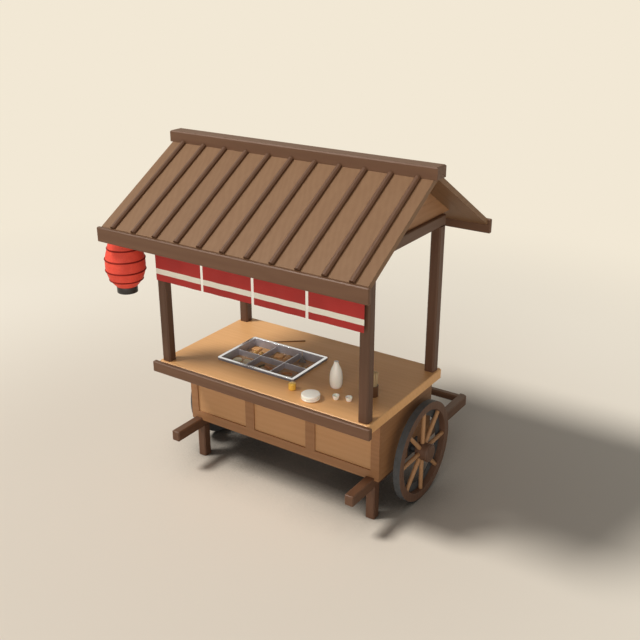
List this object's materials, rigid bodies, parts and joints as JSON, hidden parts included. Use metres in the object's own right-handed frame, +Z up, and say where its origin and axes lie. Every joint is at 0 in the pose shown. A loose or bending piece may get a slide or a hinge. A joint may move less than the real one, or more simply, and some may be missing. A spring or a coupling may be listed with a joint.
{
  "type": "wooden market stall",
  "caption": "Two-wheeled wooden food stall with a serving counter, panelled cart body, gabled board roof, red hanging curtain panels, paper lantern and divided steel pan.",
  "frame": {"origin": "on the ground, in the middle of the box round the stall and its shafts", "axes": "+X to the stall's right as a customer sees it, along the ridge; +Y from the customers to the cook; +Z up"},
  "size_m": [2.251, 2.088, 2.5166],
  "materials": {
    "counter_wood": "oiled pale softwood",
    "dark_wood": "dark stained softwood",
    "body_wood": "mid brown stained softwood",
    "panel_wood": "lighter brown oiled softwood",
    "roof_wood": "weathered brown boards",
    "gable_wood": "brown boards",
    "red_cloth": "plain weave cotton, dyed red with an undyed band",
    "lantern_paper": "red washi paper",
    "black_lacquer": "black lacquered bentwood",
    "hook_iron": "dark drawn wire",
    "axle_iron": "dark forged iron",
    "tyre_rubber": "solid grey rubber tyre",
    "rim_wood": "brown stained hardwood",
    "spoke_wood": "pale turned hardwood",
    "pan_steel": "bright rolled rim, satin inside",
    "white_porcelain": "glazed, off white",
    "yellow_glaze": "glazed, mustard yellow",
    "brown_glaze": "glazed, dark brown",
    "pale_bamboo": "plain split bamboo",
    "brown_bamboo": "smoked bamboo",
    "daikon_flesh": "simmered, moist",
    "fried_tofu": "fried skin, moist",
    "fish_cake": "browned skin, moist",
    "fish_ball": "golden skin, moist",
    "kelp": "dark olive, slippery",
    "konnyaku": "grey speckled jelly"
  },
  "bodies": {
    "stall": {"back_fascia": "dark_wood", "back_posts": "dark_wood", "back_roof_battens": "dark_wood", "back_roof_boards": "roof_wood", "bamboo_skewer": "pale_bamboo", "cart_back": "body_wood", "cart_floor": "body_wood", "cart_front_frame": "body_wood", "cart_left_side": "body_wood", "cart_right_side": "body_wood", "chopstick_holder": "brown_glaze", "chopsticks": "pale_bamboo", "cooking_chopsticks": "brown_bamboo", "counter_front_rail": "dark_wood", "counter_top": "counter_wood", "covered_dish": "white_porcelain", "daikon_slices": "daikon_flesh", "dish_lid": "white_porcelain", "fish_balls": "fish_ball", "fish_cake_rolls": "fish_cake", "front_fascia": "dark_wood", "front_panels": "panel_wood", "front_posts": "dark_wood", "front_roof_battens": "dark_wood", "front_roof_boards": "roof_wood", "gables": "gable_wood", "handle_bar": "dark_wood", "kelp_rolls": "kelp", "konnyaku_triangle": "konnyaku", "lantern_hook": "hook_iron", "left_stub_axle": "axle_iron", "legs": "dark_wood", "mustard_jar": "yellow_glaze", "noren_panel_1": "red_cloth", "noren_panel_2": "red_cloth", "noren_panel_3": "red_cloth", "noren_panel_4": "red_cloth", "noren_rail": "dark_wood", "oden_pan": "pan_steel", "ridge_beam": "dark_wood", "right_stub_axle": "axle_iron", "sake_bottle": "white_porcelain", "sake_cups": "white_porcelain", "shafts": "dark_wood", "tie_beams": "dark_wood", "tofu_slabs": "fried_tofu", "top_beams": "dark_wood"},
    "lantern": {"lantern_bottom_ring": "black_lacquer", "lantern_hanger": "hook_iron", "lantern_shade": "lantern_paper", "lantern_top_ring": "black_lacquer"},
    "left_wheel": {"left_wheel_hub": "rim_wood", "left_wheel_rim": "rim_wood", "left_wheel_spokes": "spoke_wood", "left_wheel_tyre": "tyre_rubber"},
    "right_wheel": {"right_wheel_hub": "rim_wood", "right_wheel_rim": "rim_wood", "right_wheel_spokes": "spoke_wood", "right_wheel_tyre": "tyre_rubber"}
  },
  "joints": [
    {"name": "left_wheel_spin", "type": "hinge", "parent": "stall", "child": "left_wheel", "pos_m": [-0.8775, 0.018, 0.376], "axis": [1, 0, 0], "continuous": true},
    {"name": "right_wheel_spin", "type": "hinge", "parent": "stall", "child": "right_wheel", "pos_m": [0.9765, 0.018, 0.376], "axis": [1, 0, 0], "continuous": true},
    {"name": "lantern_swing", "type": "hinge", "parent": "stall", "child": "lantern", "pos_m": [-0.9805, -0.85, 1.9624], "axis": [1, 0, 0], "range_deg": [-10, 10]}
  ]
}
